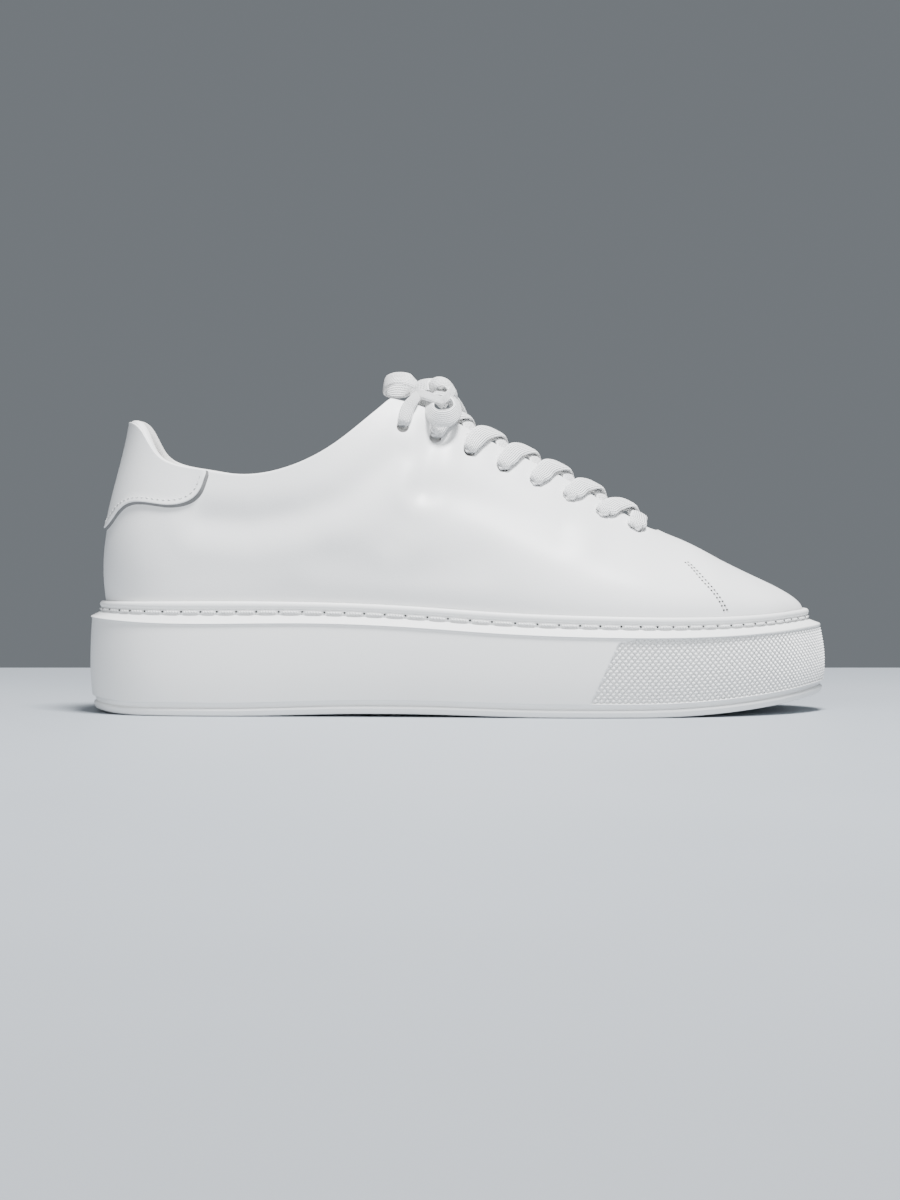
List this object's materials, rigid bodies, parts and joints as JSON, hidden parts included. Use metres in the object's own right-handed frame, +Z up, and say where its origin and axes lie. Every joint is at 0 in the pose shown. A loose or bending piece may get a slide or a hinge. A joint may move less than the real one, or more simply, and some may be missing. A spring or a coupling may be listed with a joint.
{
  "type": "platform sneaker",
  "caption": "Low laced leather sneaker for the right foot on a thick stitched rubber platform, with a textured toe, a waved heel tab and a tied bow.",
  "frame": {"origin": "on the floor, under the centre of the box round the shoe without the bow's cords", "axes": "+X towards the toe, +Y towards the medial side, +Z up"},
  "size_m": [0.2995, 0.1055, 0.1368],
  "materials": {
    "sole_rubber": "smooth matte white moulded rubber",
    "upper_leather": "smooth white leather with a soft sheen",
    "lining_leather": "matte white lining leather",
    "lace": "flat woven white cotton"
  },
  "bodies": {
    "root": {"outsole": "sole_rubber", "midsole": "sole_rubber", "insole": "lining_leather", "upper": "upper_leather", "heel_tab": "upper_leather", "tongue": "upper_leather", "lace_bar_1": "lace", "lace_crossing_2": "lace", "lace_crossing_3": "lace", "lace_crossing_4": "lace", "lace_crossing_5": "lace", "lace_crossing_6": "lace", "lace_crossing_7": "lace", "lace_tie": "lace", "lace_knot": "lace", "lace_loop_heel": "lace", "lace_loop_side": "lace", "lace_end_toe": "lace", "lace_end_heel": "lace"}
  },
  "joints": []
}
